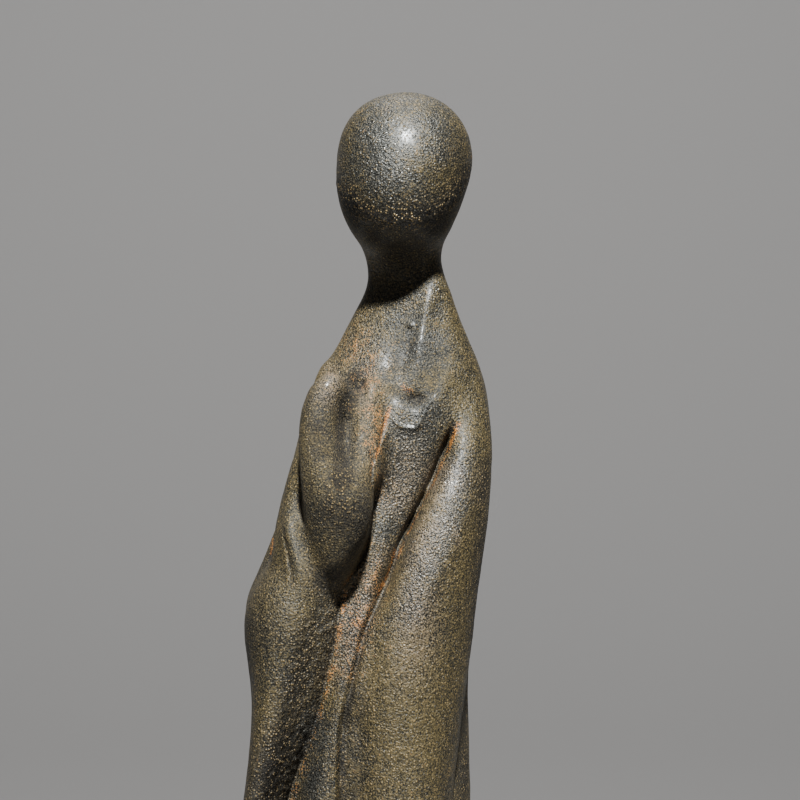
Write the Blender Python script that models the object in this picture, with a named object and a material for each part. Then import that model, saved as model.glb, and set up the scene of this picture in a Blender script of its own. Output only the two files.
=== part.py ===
"""A standing robed figure with a plain egg-shaped head and a raised hand, cast in one with its round plinth.

The figure is built as a sculptor would build it: lumps of clay are laid together, blended into one skin,
and the folds are carved into that skin. The frame has +Z up, the figure looks along -Y, and the origin is
the middle of the plinth's underside. Sizes are in metres.
"""

import math

import bmesh
import bpy
import numpy as np
from mathutils import Vector
from mathutils.bvhtree import BVHTree

# Driving dimensions of the casting.
FIGURE_HEIGHT = 0.292
PLINTH_DIAMETER = 0.066
PLINTH_THICKNESS = 0.008
PLINTH_EDGE_RADIUS = 0.002

# The figure's own measures are hundredths of its height. Heights count from the top of the plinth.
SHARE = FIGURE_HEIGHT / 100
FOOT_SINK = PLINTH_THICKNESS / 2 / SHARE

# How finely the clay is worked: the width of one grain, how often its surface is stroked smooth before and
# after it is carved, and about how many faces the casting keeps.
GRAIN = 0.42
BLENDING_STROKES = 7
BURNISHING_STROKES = 2
FACES = 8400

# How finely each lump is made before it is blended: sides around a level section, the distance from one
# section or ball to the next, and the sides of the head and of the plinth.
SIDES = 40
RING_SPACING = 1.2
BALL_SPACING = 0.5
HEAD_SIDES = 48
HEAD_RINGS = 32
PLINTH_SIDES = 64
PLINTH_EDGE_STEPS = 3

# The head: the middle of its widest level, its half sizes, and how far it leans forward for each unit of
# height. The skull's sides run down further into the neck than the rounded face does. The crown is a little
# squarer than an ellipse, and the jaw is a little leaner and turned to the figure's right.
HEAD_CENTRE = (2.67, -1.5, 94.5)
HEAD_HALF_WIDTH = 5.25
HEAD_HALF_DEPTH = 5.9
HEAD_RISE = 5.5
HEAD_DROP = 8.4
FACE_DROP = 7.1
CROWN_SQUARENESS = 2.2
JAW_SQUARENESS = 1.8
CHIN_LEAN = 0.2
JAW_TURN = 0.35

# Level sections: height, left, right, front, back, and where across the section its most forward crest is.
# This is the robed body.
BODY = (
    (-FOOT_SINK, -8.4, 8.0, -7.0, 6.9, -0.2),
    (12.0, -8.2, 7.6, -6.3, 6.3, -0.3),
    (30.0, -8.9, 7.5, -6.0, 6.2, -0.7),
    (45.9, -9.3, 7.8, -5.9, 6.3, -0.8),
    (56.6, -9.1, 7.7, -5.8, 6.2, -0.7),
    (61.2, -9.1, 8.3, -5.8, 6.3, -0.4),
    (66.0, -7.3, 8.95, -5.8, 6.3, 0.8),
    (71.4, -5.9, 9.35, -5.7, 6.2, 1.7),
    (75.1, -5.2, 9.3, -5.5, 6.0, 2.0),
    (77.9, -4.1, 8.85, -4.7, 5.5, 2.8),
    (80.7, -2.5, 7.8, -3.5, 4.7, 3.8),
    (83.0, -1.35, 6.7, -2.6, 3.8, 4.3),
    (85.3, -0.3, 5.95, -2.3, 2.9, 4.2),
    (86.9, -0.3, 5.45, -2.4, 2.5, 3.4),
    (88.2, -0.7, 5.6, -3.4, 2.4, 2.5),
    (89.6, -1.3, 6.1, -4.9, 2.6, 2.4),
)

# The cloth over the hanging left arm, from the shoulder down to the hem.
LEFT_SLEEVE = (
    (-FOOT_SINK, -1.6, 6.6, -6.8, 2.0, 2.6),
    (15.0, -2.0, 6.3, -7.3, 2.0, 2.3),
    (30.0, -2.3, 6.2, -7.9, 2.0, 2.1),
    (45.9, -2.2, 6.45, -8.3, 2.0, 2.2),
    (53.2, -1.9, 7.25, -8.5, 2.0, 2.3),
    (59.2, -0.3, 8.0, -8.5, 2.0, 2.9),
    (64.0, 1.2, 8.6, -8.0, 2.0, 4.4),
    (68.3, 2.7, 9.2, -7.0, 2.0, 5.8),
    (71.4, 3.7, 9.4, -5.9, 2.0, 6.6),
    (74.5, 4.4, 9.3, -4.6, 2.0, 6.9),
    (78.0, 5.0, 8.7, -2.8, 1.5, 6.9),
)

# The cloth that falls from the raised right forearm.
RIGHT_SLEEVE = (
    (-FOOT_SINK, -8.8, -5.6, -6.4, 3.0, -7.6),
    (20.0, -9.0, -5.9, -7.0, 3.0, -8.2),
    (34.0, -9.3, -6.1, -7.7, 3.0, -8.7),
    (45.6, -9.45, -5.9, -8.1, 3.0, -8.8),
    (49.0, -9.15, -4.8, -8.4, 3.0, -8.0),
    (52.6, -8.9, -3.0, -8.5, 3.0, -7.2),
    (56.0, -9.2, -1.8, -8.7, 3.0, -6.4),
    (59.6, -9.6, -0.8, -8.9, 3.0, -5.8),
    (62.0, -8.9, -0.8, -8.6, 3.0, -5.4),
    (64.0, -7.6, -1.4, -7.6, 3.0, -5.0),
)

# The front panel of the inner robe, which comes out from under the hand.
FRONT_PANEL = (
    (-FOOT_SINK, -6.2, 0.6, -7.2, 2.0, -2.8),
    (15.0, -6.4, 0.4, -7.4, 2.0, -3.0),
    (30.0, -6.5, 0.2, -7.5, 2.0, -3.2),
    (45.9, -5.9, 0.2, -7.5, 2.0, -2.9),
    (53.2, -4.2, 0.8, -7.5, 2.0, -1.8),
    (59.2, -2.7, 1.8, -7.3, 2.0, -0.6),
    (63.0, -2.0, 2.6, -6.9, 2.0, 0.3),
    (67.0, -1.2, 3.2, -6.3, 2.0, 1.0),
    (71.0, -0.6, 3.6, -5.3, 2.0, 1.6),
)

# The raised hand, from the heel up to the finger tips, a thick mitten seen on its edge.
HAND = (
    (61.6, -3.6, -2.2, -7.4, -5.4, -2.9),
    (63.0, -4.0, -1.6, -8.6, -5.4, -2.7),
    (64.6, -4.35, -0.7, -9.6, -5.4, -2.4),
    (67.1, -4.85, 0.2, -10.5, -5.2, -2.2),
    (69.4, -5.1, 0.4, -10.7, -5.0, -2.4),
    (71.7, -5.3, 0.0, -10.1, -4.5, -3.2),
    (74.0, -5.35, -1.0, -9.4, -4.0, -3.7),
    (76.2, -5.0, -1.3, -8.7, -3.8, -3.6),
    (77.7, -4.3, -1.6, -8.1, -4.4, -3.1),
    (78.5, -3.4, -2.1, -7.6, -5.4, -2.8),
)

# Strings of clay balls, which make the arm and the cloth around it: the place of each ball and its radius.
RIGHT_UPPER_ARM = (
    (-2.6, 0.2, 78.0, 1.7),
    (-3.6, -0.4, 72.0, 2.35),
    (-5.0, -0.9, 66.0, 2.45),
    (-7.1, -1.2, 60.3, 2.65),
)
RIGHT_FOREARM = (
    (-7.1, -1.2, 60.3, 2.65),
    (-5.9, -4.4, 61.6, 2.6),
    (-4.6, -6.6, 62.6, 1.8),
)
ARM_CROOK = (
    (-2.5, -1.4, 76.0, 1.9),
    (-3.2, -2.8, 72.0, 2.65),
    (-4.25, -3.7, 67.8, 2.85),
    (-4.8, -4.8, 64.0, 2.9),
)
SLEEVE_RIM = (
    (-5.6, -6.0, 67.8, 0.8),
    (-5.95, -6.6, 66.6, 0.85),
    (-5.5, -7.4, 64.8, 0.9),
    (-5.2, -8.0, 62.9, 0.85),
    (-5.0, -7.9, 61.0, 0.6),
)
HAND_WEB = (
    (0.2, -4.8, 77.2, 0.9),
    (-0.4, -5.2, 75.4, 1.4),
    (-0.6, -5.8, 73.4, 1.7),
    (-0.6, -6.8, 71.0, 1.7),
)

# How sharply a level section gathers towards its crest, and the share of its size that the face keeps inside
# the neck.
CREST_POWER = 1.5
LEAST_FACE = 0.15


def clear_scene():
    for old in list(bpy.data.objects):
        bpy.data.objects.remove(old)


def through(stations, lengths, spacing):
    """Rows at even spacing on the cubic through the stations, whose distances along the way are lengths."""
    stations = np.array(stations, float)
    lengths = np.array(lengths, float)
    slopes = np.gradient(stations, lengths, axis=0)
    count = max(2, round((lengths[-1] - lengths[0]) / spacing) + 1)
    rows = []
    for at in np.linspace(lengths[0], lengths[-1], count):
        i = min(np.searchsorted(lengths, at, side="right") - 1, len(lengths) - 2)
        gap = lengths[i + 1] - lengths[i]
        t = (at - lengths[i]) / gap
        rows.append(
            (2 * t**3 - 3 * t**2 + 1) * stations[i]
            + (t**3 - 2 * t**2 + t) * gap * slopes[i]
            + (3 * t**2 - 2 * t**3) * stations[i + 1]
            + (t**3 - t**2) * gap * slopes[i + 1]
        )
    return rows


def add_level_form(clay, sections):
    """A closed form with an oval level section at each height, made by extruding one disc upwards."""
    rows = through(sections, [section[0] for section in sections], RING_SPACING)
    disc = bmesh.ops.create_circle(clay, cap_ends=True, segments=SIDES, radius=1)["verts"]
    angles = [2 * math.pi * k / SIDES for k in range(SIDES)]
    outline = sorted(disc, key=lambda v: math.atan2(v.co.y, v.co.x) % (2 * math.pi))
    for level, row in enumerate(rows):
        if level:
            face = next(f for f in outline[0].link_faces if all(v in f.verts for v in outline))
            raised = bmesh.ops.extrude_face_region(clay, geom=[face])["geom"]
            new = [v for v in raised if isinstance(v, bmesh.types.BMVert)]
            outline = [min(new, key=lambda n, v=v: (n.co - v.co).length) for v in outline]
        height, left, right, front, back, crest = row
        middle_x = (left + right) / 2
        middle_y = (front + back) / 2
        for vert, angle in zip(outline, angles, strict=True):
            forward = max(0.0, -math.sin(angle)) ** CREST_POWER
            x = middle_x + (right - left) / 2 * math.cos(angle) + (crest - middle_x) * forward
            y = middle_y + (back - front) / 2 * math.sin(angle)
            vert.co = (x, y, height)


def add_balls(clay, string):
    """A string of overlapping balls along a path, which reads as a limb once it is blended."""
    points = np.array(string, float)
    steps = np.linalg.norm(np.diff(points[:, :3], axis=0), axis=1)
    for x, y, z, radius in through(points, np.concatenate([[0], np.cumsum(steps)]), BALL_SPACING):
        made = bmesh.ops.create_icosphere(clay, subdivisions=2, radius=radius)["verts"]
        bmesh.ops.translate(clay, verts=made, vec=(x, y, z))


def add_head(clay):
    """An egg with its small end down, leaning a little forward, whose face rounds under above the neck."""
    ball = bmesh.ops.create_uvsphere(clay, u_segments=HEAD_SIDES, v_segments=HEAD_RINGS, radius=1)["verts"]
    for vert in ball:
        up = vert.co.z
        around = math.atan2(vert.co.y, vert.co.x)
        forward = max(0.0, -math.sin(around))
        power = CROWN_SQUARENESS if up > 0 else JAW_SQUARENESS
        skull = max(0.0, 1 - abs(up) ** power) ** (1 / power)
        z = up * (HEAD_RISE if up > 0 else HEAD_DROP)
        face = skull if up > 0 else math.sqrt(max(LEAST_FACE**2, 1 - (z / FACE_DROP) ** 2))
        width = skull + (min(face, skull) - skull) * forward
        x = HEAD_HALF_WIDTH * width * math.cos(around) - JAW_TURN * math.sin(math.pi * max(0.0, -up))
        y = HEAD_HALF_DEPTH * min(face, skull) * math.sin(around) + CHIN_LEAN * z * face * forward
        vert.co = Vector(HEAD_CENTRE) + Vector((x, y, z))


def blended_clay():
    """All the lumps as one closed skin with even faces, in hundredths of the figure's height."""
    clay = bmesh.new()
    add_level_form(clay, BODY)
    add_level_form(clay, LEFT_SLEEVE)
    add_level_form(clay, RIGHT_SLEEVE)
    add_level_form(clay, FRONT_PANEL)
    add_level_form(clay, HAND)
    for string in (RIGHT_UPPER_ARM, RIGHT_FOREARM, ARM_CROOK, SLEEVE_RIM, HAND_WEB):
        add_balls(clay, string)
    add_head(clay)
    bmesh.ops.recalc_face_normals(clay, faces=clay.faces)
    mesh = bpy.data.meshes.new("clay")
    clay.to_mesh(mesh)
    clay.free()
    lump = bpy.data.objects.new("clay", mesh)
    bpy.context.scene.collection.objects.link(lump)
    remesh = lump.modifiers.new("one skin", "REMESH")
    remesh.mode = "VOXEL"
    remesh.voxel_size = GRAIN
    smooth = lump.modifiers.new("stroked smooth", "SMOOTH")
    smooth.iterations = round(BLENDING_STROKES)
    graph = bpy.context.evaluated_depsgraph_get()
    skin = bpy.data.meshes.new_from_object(lump.evaluated_get(graph))
    bpy.data.objects.remove(lump)
    return skin


# Carved lines: the side they are seen from, the tool's width, how deep it cuts straight in from that side,
# how high the cloth laps over on the right of a line drawn downwards, and the line's points as (distance to
# the right as seen from that side, height). A depth under zero raises a ridge.
FRONT = Vector((0, -1, 0))
BACK = Vector((0, 1, 0))
CARVED = (
    # The long groove where the cloak's left side overlaps the chest and the inner robe.
    (FRONT, 0.5, 1.4, 0.0, ((6.5, 74.4), (5.4, 71.5), (3.85, 68.3), (2.7, 65.9), (1.4, 62.6), (0.4, 60.4))),
    (FRONT, 0.4, 0.6, 0.15, ((1.8, 63.6), (0.5, 60.7), (-0.5, 58.2), (-1.2, 56.0), (-1.75, 53.2),
                             (-2.0, 49.3), (-1.95, 38.0), (-1.7, 22.0), (-1.3, -FOOT_SINK))),
    # The valley between the right sleeve and the inner robe.
    (FRONT, 0.7, 0.3, 0.0, ((-1.0, 64.4), (-2.0, 61.7), (-2.55, 59.6), (-3.2, 56.3), (-3.8, 52.6),
                             (-4.8, 49.8), (-5.7, 47.3), (-6.3, 45.5), (-6.6, 38.0), (-6.3, 24.0),
                             (-5.9, -FOOT_SINK))),
    (FRONT, 1.2, 0.55, 0.0, ((-2.5, 62.5), (-4.0, 59.2), (-4.7, 56.3), (-5.45, 52.6), (-6.6, 48.8),
                            (-7.3, 46.0), (-7.6, 38.0), (-7.4, 24.0), (-7.0, -FOOT_SINK))),
    # The edge of the sleeve against the back of the robe.
    (FRONT, 0.4, 0.5, 0.0, ((7.65, 57.0), (7.2, 53.2), (6.75, 49.4), (6.35, 45.9), (6.1, 38.0), (6.1, 24.0),
                            (6.3, -FOOT_SINK))),
    # The hollow inside the cowl and the rim of cloth below it.
    (FRONT, 0.8, 0.6, 0.0, ((2.4, 76.5), (3.2, 76.4), (4.0, 76.8))),
    (FRONT, 0.4, -0.35, 0.0, ((1.7, 76.2), (1.95, 75.0), (2.7, 74.3), (3.7, 74.3), (4.4, 75.3), (4.95, 76.4),
                              (5.5, 77.7), (5.95, 79.2), (6.2, 81.0))),
    # The fold that comes down from the neck into the cowl, and the crease beside it.
    (FRONT, 0.6, -0.45, 0.0, ((5.6, 85.4), (5.0, 84.8), (4.4, 83.6), (4.1, 82.2), (3.9, 80.8), (3.6, 79.4),
                              (3.3, 78.2))),
    (FRONT, 0.45, 0.35, 0.0, ((3.5, 82.4), (3.1, 80.4), (2.6, 78.6), (2.1, 77.0))),
    # The lapel below the cowl, and the edge of the inner robe beside the hand.
    (FRONT, 0.35, 0.25, 0.2, ((1.6, 75.9), (1.25, 74.2), (0.55, 72.5))),
    (FRONT, 0.35, 0.3, 0.25, ((0.2, 72.7), (0.5, 71.4), (0.35, 70.4), (0.6, 68.9), (0.4, 67.0), (0.0, 65.5))),
    # The hollow beside the fingers.
    (FRONT, 0.85, 1.05, 0.0, ((-2.2, 77.3), (-2.1, 75.4), (-1.95, 73.4), (-1.9, 70.9))),
    # The pit between the hand and the rim of its sleeve, and the crease outside that rim.
    (FRONT, 0.4, 1.0, 0.0, ((-5.3, 69.6), (-5.2, 68.7), (-4.95, 67.4))),
    (FRONT, 0.35, 0.4, 0.0, ((-6.5, 67.2), (-6.45, 66.0), (-5.8, 64.2), (-5.6, 62.6))),
    # Long plain folds down the back.
    (BACK, 1.1, 0.45, 0.0, ((-3.6, 62.0), (-3.2, 48.0), (-3.5, 30.0), (-3.7, -FOOT_SINK))),
    (BACK, 1.2, 0.4, 0.0, ((2.6, 66.0), (3.4, 48.0), (3.6, 28.0), (3.2, -FOOT_SINK))),
    (BACK, 1.1, 0.35, 0.0, ((-0.4, 44.0), (-0.3, 28.0), (-0.4, -FOOT_SINK))),
)
# How far a lap reaches for each unit of the tool's width, how closely a line follows the skin, and how a cut
# runs out: over what length, and the share of its depth that it starts with.
LAP_REACH = 3.0
LINE_SPACING = 0.6
LINE_ENDS = 3.0
FIRST_BITE = 0.15

# How often a line's depth is evened out where it steps from one layer of cloth to the next.
PATH_STROKES = 20

# A distance clear of the whole figure, from which its skin is looked at.
CLEAR = 50.0


def on_skin(tree, seen_from, line):
    """The points of a carved line, laid on the skin as seen from that side."""
    flat = np.array(line, float)
    steps = np.linalg.norm(np.diff(flat, axis=0), axis=1)
    to_right = Vector((-seen_from.y, seen_from.x, 0))
    points = []
    for across, height in through(flat, np.concatenate([[0], np.cumsum(steps)]), LINE_SPACING):
        start = to_right * across + Vector((0, 0, height)) + seen_from * CLEAR
        place = tree.ray_cast(start, -seen_from)[0]
        if place is not None:
            points.append(place)
    path = np.array(points)
    depth = path @ np.array(seen_from)
    even = depth.copy()
    for _ in range(PATH_STROKES):
        even[1:-1] = (even[:-2] + 2 * even[1:-1] + even[2:]) / 4
    return path + (even - depth)[:, None] * np.array(seen_from)


def carve(skin):
    """Cuts each carved line straight into the skin from the side it is seen from."""
    count = len(skin.vertices)
    places = np.empty(count * 3)
    skin.vertices.foreach_get("co", places)
    places = places.reshape(-1, 3)
    tree = BVHTree.FromPolygons([v.co for v in skin.vertices], [p.vertices for p in skin.polygons])
    moved = places.copy()
    for seen_from, width, depth, lap, line in CARVED:
        path = on_skin(tree, seen_from, line)
        along = np.arange(len(path)) * LINE_SPACING
        nearest = np.full(count, np.inf)
        taper = np.zeros(count)
        to_right = np.zeros(count)
        for k in range(len(path) - 1):
            way = path[k + 1] - path[k]
            t = np.clip((places - path[k]) @ way / (way @ way), 0, 1)
            gap = np.linalg.norm(places - path[k] - t[:, None] * way, axis=1)
            closer = gap < nearest
            nearest[closer] = gap[closer]
            ahead = along[k] + t[closer] * LINE_SPACING
            taper[closer] = np.minimum(1, np.minimum(ahead, along[-1] - ahead) / LINE_ENDS + FIRST_BITE)
            rightward = np.cross(np.array(seen_from), way)
            rightward /= np.linalg.norm(rightward)
            to_right[closer] = (places[closer] - path[k]) @ rightward
        cut = depth * np.exp(-((nearest / width) ** 2))
        cut -= lap * np.clip(to_right / width, 0, 1) * np.exp(-((nearest / width / LAP_REACH) ** 2))
        moved -= (cut * taper)[:, None] * np.array(seen_from)
    skin.vertices.foreach_set("co", moved.ravel())
    skin.update()


def plinth():
    """A low round slab with a rounded top edge."""
    slab = bmesh.new()
    bmesh.ops.create_cone(
        slab,
        cap_ends=True,
        segments=PLINTH_SIDES,
        radius1=PLINTH_DIAMETER / 2,
        radius2=PLINTH_DIAMETER / 2,
        depth=PLINTH_THICKNESS,
    )
    bmesh.ops.translate(slab, verts=slab.verts, vec=(0, 0, PLINTH_THICKNESS / 2))
    top = [e for e in slab.edges if all(v.co.z > PLINTH_THICKNESS / 2 for v in e.verts)]
    bmesh.ops.bevel(
        slab,
        geom=top,
        offset=PLINTH_EDGE_RADIUS,
        segments=PLINTH_EDGE_STEPS,
        profile=0.5,
        affect="EDGES",
        material=-1,
    )
    mesh = bpy.data.meshes.new("plinth")
    slab.to_mesh(mesh)
    slab.free()
    made = bpy.data.objects.new("plinth", mesh)
    bpy.context.scene.collection.objects.link(made)
    made.hide_render = True
    made.display_type = "WIRE"
    return made


def cast_iron():
    """Dark brown iron, waxed, with a warm bloom of old rust."""
    made = bpy.data.materials.new("waxed cast iron")
    made.use_nodes = True
    shader = made.node_tree.nodes["Principled BSDF"]
    shader.inputs["Base Color"].default_value = (0.115, 0.096, 0.067, 1)
    shader.inputs["Metallic"].default_value = 0.55
    shader.inputs["Roughness"].default_value = 0.5
    return made


def figure():
    """The carved skin at its real size, joined with the plinth into one casting."""
    skin = blended_clay()
    carve(skin)
    for vert in skin.vertices:
        vert.co = vert.co * SHARE + Vector((0, 0, PLINTH_THICKNESS))
    skin.name = "robed_figure"
    made = bpy.data.objects.new("robed_figure", skin)
    bpy.context.scene.collection.objects.link(made)
    made.data.materials.append(cast_iron())
    burnished = made.modifiers.new("burnished", "SMOOTH")
    burnished.iterations = round(BURNISHING_STROKES)
    thinned = made.modifiers.new("fewer faces", "DECIMATE")
    thinned.ratio = FACES / sum(len(p.vertices) - 2 for p in skin.polygons)
    joined = made.modifiers.new("cast with its plinth", "BOOLEAN")
    joined.operation = "UNION"
    joined.object = plinth()
    skin.shade_smooth()
    return made


clear_scene()
figure()
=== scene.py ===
# %% [markdown]
# # A robed figure in cast iron
# The object is a table-top statue: a standing figure in long robes, sand-cast in iron in one piece with a
# low plinth. Its head is a plain egg, its right hand is raised, and the cloth falls in a few long folds.
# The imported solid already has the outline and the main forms. This lesson works the same skin finer, carves
# the edges of the cloth into it, and gives it the finish of old, waxed, sand-cast iron.

# %% Load the casting
import math

import bmesh
import bpy
import numpy as np
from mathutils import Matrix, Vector, noise
from mathutils.bvhtree import BVHTree
from mathutils.kdtree import KDTree


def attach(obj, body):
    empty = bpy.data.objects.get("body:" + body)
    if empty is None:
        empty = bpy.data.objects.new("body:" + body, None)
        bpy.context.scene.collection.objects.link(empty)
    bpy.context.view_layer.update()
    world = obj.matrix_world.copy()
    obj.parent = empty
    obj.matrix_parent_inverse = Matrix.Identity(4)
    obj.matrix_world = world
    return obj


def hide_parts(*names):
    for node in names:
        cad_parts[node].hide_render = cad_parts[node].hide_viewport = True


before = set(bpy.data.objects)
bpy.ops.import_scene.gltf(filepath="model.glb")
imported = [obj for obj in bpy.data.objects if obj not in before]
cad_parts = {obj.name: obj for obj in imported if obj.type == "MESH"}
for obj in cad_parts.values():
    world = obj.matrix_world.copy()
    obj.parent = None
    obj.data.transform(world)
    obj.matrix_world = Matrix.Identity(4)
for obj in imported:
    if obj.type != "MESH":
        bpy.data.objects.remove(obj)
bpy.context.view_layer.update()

MM = 0.001
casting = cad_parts["robed_figure"]

# %% [markdown]
# ## The camera
# The photograph looks straight at the figure, level with its chest, with a long lens: the sides of the
# plinth and of the neck hardly converge. A long lens a little under a metre away does the same. One pixel
# of an 800 pixel picture is 0.225 mm on the figure, which sets the field of view.

# %% Set up the camera
PICTURE = 800
PIXEL = 0.225 * MM
TOP_OF_HEAD = 0.300
TOP_PIXEL = 93
AXIS_PIXEL = 370
CAMERA_DISTANCE = 0.9
SENSOR = 36

lens = bpy.data.cameras.new("camera")
lens.sensor_width = SENSOR
lens.lens = SENSOR * CAMERA_DISTANCE / (PICTURE * PIXEL)
lens.clip_start = 0.01
camera = bpy.data.objects.new("camera", lens)
camera.location = (
    (PICTURE / 2 - AXIS_PIXEL) * PIXEL,
    -CAMERA_DISTANCE,
    TOP_OF_HEAD - (PICTURE / 2 - TOP_PIXEL) * PIXEL,
)
camera.rotation_euler = (math.pi / 2, 0, 0)
bpy.context.scene.collection.objects.link(camera)
bpy.context.scene.camera = camera
print("lens", round(lens.lens), "mm, camera at", tuple(round(v, 3) for v in camera.location))

# %% [markdown]
# ## The floor
# A pale floor that turns up into a wall all round, as in a photographer's cove, so that no horizon line
# cuts the picture from any side. Spinning one profile about the upright axis makes it.

# %% Make the cove
COVE_RADIUS = 2.6
COVE_CORNER = 0.9
COVE_HEIGHT = 2.6
COVE_STEPS = 96
CORNER_STEPS = 13
FLOOR_PAINT = (0.51, 0.50, 0.49)
FLOOR_ROUGHNESS = 0.85


def painted(name, colour, roughness):
    """A plain painted surface."""
    made = bpy.data.materials.new(name)
    made.use_nodes = True
    shader = made.node_tree.nodes["Principled BSDF"]
    shader.inputs["Base Color"].default_value = (*colour, 1)
    shader.inputs["Roughness"].default_value = roughness
    return made


def cove():
    """A round floor with a curved wall."""
    shape = bmesh.new()
    corner = [
        (COVE_RADIUS - COVE_CORNER + COVE_CORNER * math.sin(turn), COVE_CORNER * (1 - math.cos(turn)))
        for turn in np.linspace(0, math.pi / 2, CORNER_STEPS)
    ]
    profile = [(0, 0), *corner, (COVE_RADIUS, COVE_HEIGHT)]
    verts = [shape.verts.new((x, 0, z)) for x, z in profile]
    edges = [shape.edges.new(pair) for pair in zip(verts[:-1], verts[1:])]
    bmesh.ops.spin(
        shape,
        geom=verts + edges,
        axis=(0, 0, 1),
        cent=(0, 0, 0),
        angle=2 * math.pi,
        steps=COVE_STEPS,
        use_merge=True,
    )
    bmesh.ops.remove_doubles(shape, verts=shape.verts, dist=MM)
    bmesh.ops.recalc_face_normals(shape, faces=shape.faces)
    bmesh.ops.reverse_faces(shape, faces=shape.faces)
    mesh = bpy.data.meshes.new("studio_floor")
    shape.to_mesh(mesh)
    shape.free()
    mesh.shade_smooth()
    made = bpy.data.objects.new("studio_floor", mesh)
    made.data.materials.append(painted("pale floor paint", FLOOR_PAINT, FLOOR_ROUGHNESS))
    bpy.context.scene.collection.objects.link(made)
    return made


floor = cove()
print("the cove is", 2 * COVE_RADIUS, "m across")

# %% [markdown]
# ## The light
# In the photograph one lamp stands high in front of the figure and a little to the picture's right: the
# head throws its shadow down across the throat, and the shine on the brow is just above the middle of the
# head. A small softbox gives the same shapes. Over a pale floor it would also fill every shadow from below,
# so it wears a honeycomb grid, which is a narrow spread here, and keeps its light on the figure. A large
# soft one above and behind lights the figure's back and the floor round it. A third turns away from the
# figure and lights the wall, so that the backdrop stays pale. The sky is dim.

# %% Set up the light
AIM = Vector((0.01, 0, 0.2))
WALL = Vector((0, COVE_RADIUS, 0.6))
HIGH_IN_FRONT = Vector((0.05, -0.85, 1.38))
HIGH_BEHIND = Vector((0, 1.0, 1.9))
NEAR_THE_WALL = Vector((0, 0.9, 1.9))
KEY_COLOUR = (0.95, 0.99, 1.0)
SKY_COLOUR = (0.9, 0.95, 1.0)
SKY_STRENGTH = 0.12


def softbox(name, place, aim, power, size, spread, colour=(1, 1, 1)):
    """A square lamp that looks at a point, with its light kept within a spread in degrees."""
    light = bpy.data.lights.new(name, "AREA")
    light.energy = power
    light.size = size
    light.spread = math.radians(spread)
    light.color = colour
    lamp = bpy.data.objects.new(name, light)
    lamp.location = place
    lamp.rotation_euler = (aim - place).to_track_quat("-Z", "Y").to_euler()
    bpy.context.scene.collection.objects.link(lamp)


softbox("key softbox", HIGH_IN_FRONT, AIM, power=2.1, size=0.10, spread=28, colour=KEY_COLOUR)
softbox("top softbox", HIGH_BEHIND, AIM, power=4.4, size=1.3, spread=95)
softbox("wall softbox", NEAR_THE_WALL, WALL, power=13, size=0.6, spread=130)
sky = bpy.data.worlds.new("dim sky")
sky.use_nodes = True
background = sky.node_tree.nodes["Background"]
background.inputs["Color"].default_value = (*SKY_COLOUR, 1)
background.inputs["Strength"].default_value = SKY_STRENGTH
bpy.context.scene.world = sky

# %% [markdown]
# ## One fine skin
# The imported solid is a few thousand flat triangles, enough for its weight and its outline. A finer skin
# could be subdivided from it, but long triangles subdivide into ripples. A voxel remesh lays an even net
# over the same form instead, and stroking it smooth takes the facets off, as a caster's wax is stroked
# before the mould is made. The net is then fine enough to carve into.

# %% Lay a fine net over the casting
NET = 0.4 * MM
STROKES = 44
SAME_PLACE = 0.001 * MM


def merged_copy(source):
    """The casting's own mesh with its shared corners joined."""
    shape = bmesh.new()
    shape.from_mesh(source.data)
    bmesh.ops.remove_doubles(shape, verts=shape.verts, dist=SAME_PLACE)
    mesh = bpy.data.meshes.new("net")
    shape.to_mesh(mesh)
    shape.free()
    return mesh


def worked(mesh, **modifiers):
    """The mesh after modifiers, each named by its type and given its settings."""
    made = bpy.data.objects.new("work", mesh)
    bpy.context.scene.collection.objects.link(made)
    for kind, settings in modifiers.items():
        modifier = made.modifiers.new(kind, kind)
        for setting, value in settings.items():
            setattr(modifier, setting, value)
    graph = bpy.context.evaluated_depsgraph_get()
    result = bpy.data.meshes.new_from_object(made.evaluated_get(graph))
    bpy.data.objects.remove(made)
    return result


def points_of(mesh):
    """Where the mesh's points are, in millimetres."""
    flat = np.empty(len(mesh.vertices) * 3)
    mesh.vertices.foreach_get("co", flat)
    return flat.reshape(-1, 3) / MM


def normals_of(mesh):
    """Which way the skin faces at each point."""
    flat = np.empty(len(mesh.vertices) * 3, dtype=np.float32)
    mesh.vertex_normals.foreach_get("vector", flat)
    return flat.reshape(-1, 3).astype(float)


net = worked(
    merged_copy(casting),
    REMESH={"mode": "VOXEL", "voxel_size": NET},
    SMOOTH={"iterations": STROKES},
)
print("the net has", len(net.vertices), "points")

# %% [markdown]
# ## The carving tool
# Every edge of cloth is drawn as a line seen from the front: so far across, so far up, in millimetres. The
# line is laid on the skin by looking straight at it. A cut then pushes the skin in along the line, a ridge
# pulls it out, and a lap lifts the cloth on one side only, which is how one layer of cloth reads as lying
# on another. The depth wavers a little along each line, because these were cut by hand.

# %% Make the carving tool
FRONT = np.array((0.0, -1.0, 0.0))
LINE_SPACING = 0.7
LINE_STROKES = 12
LINE_ENDS = 5.0
LAP_REACH = 3.2
REACH = 4.5
WAVER = 0.6
WAVER_LENGTH = 4.0
WAVER_STEP = 1.5
OFF_GRID = 0.5
FAINTEST_END = 0.1
CLEAR = 200.0

tree = BVHTree.FromPolygons(
    [tuple(p) for p in points_of(net)], [tuple(f.vertices) for f in net.polygons], all_triangles=False
)


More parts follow.
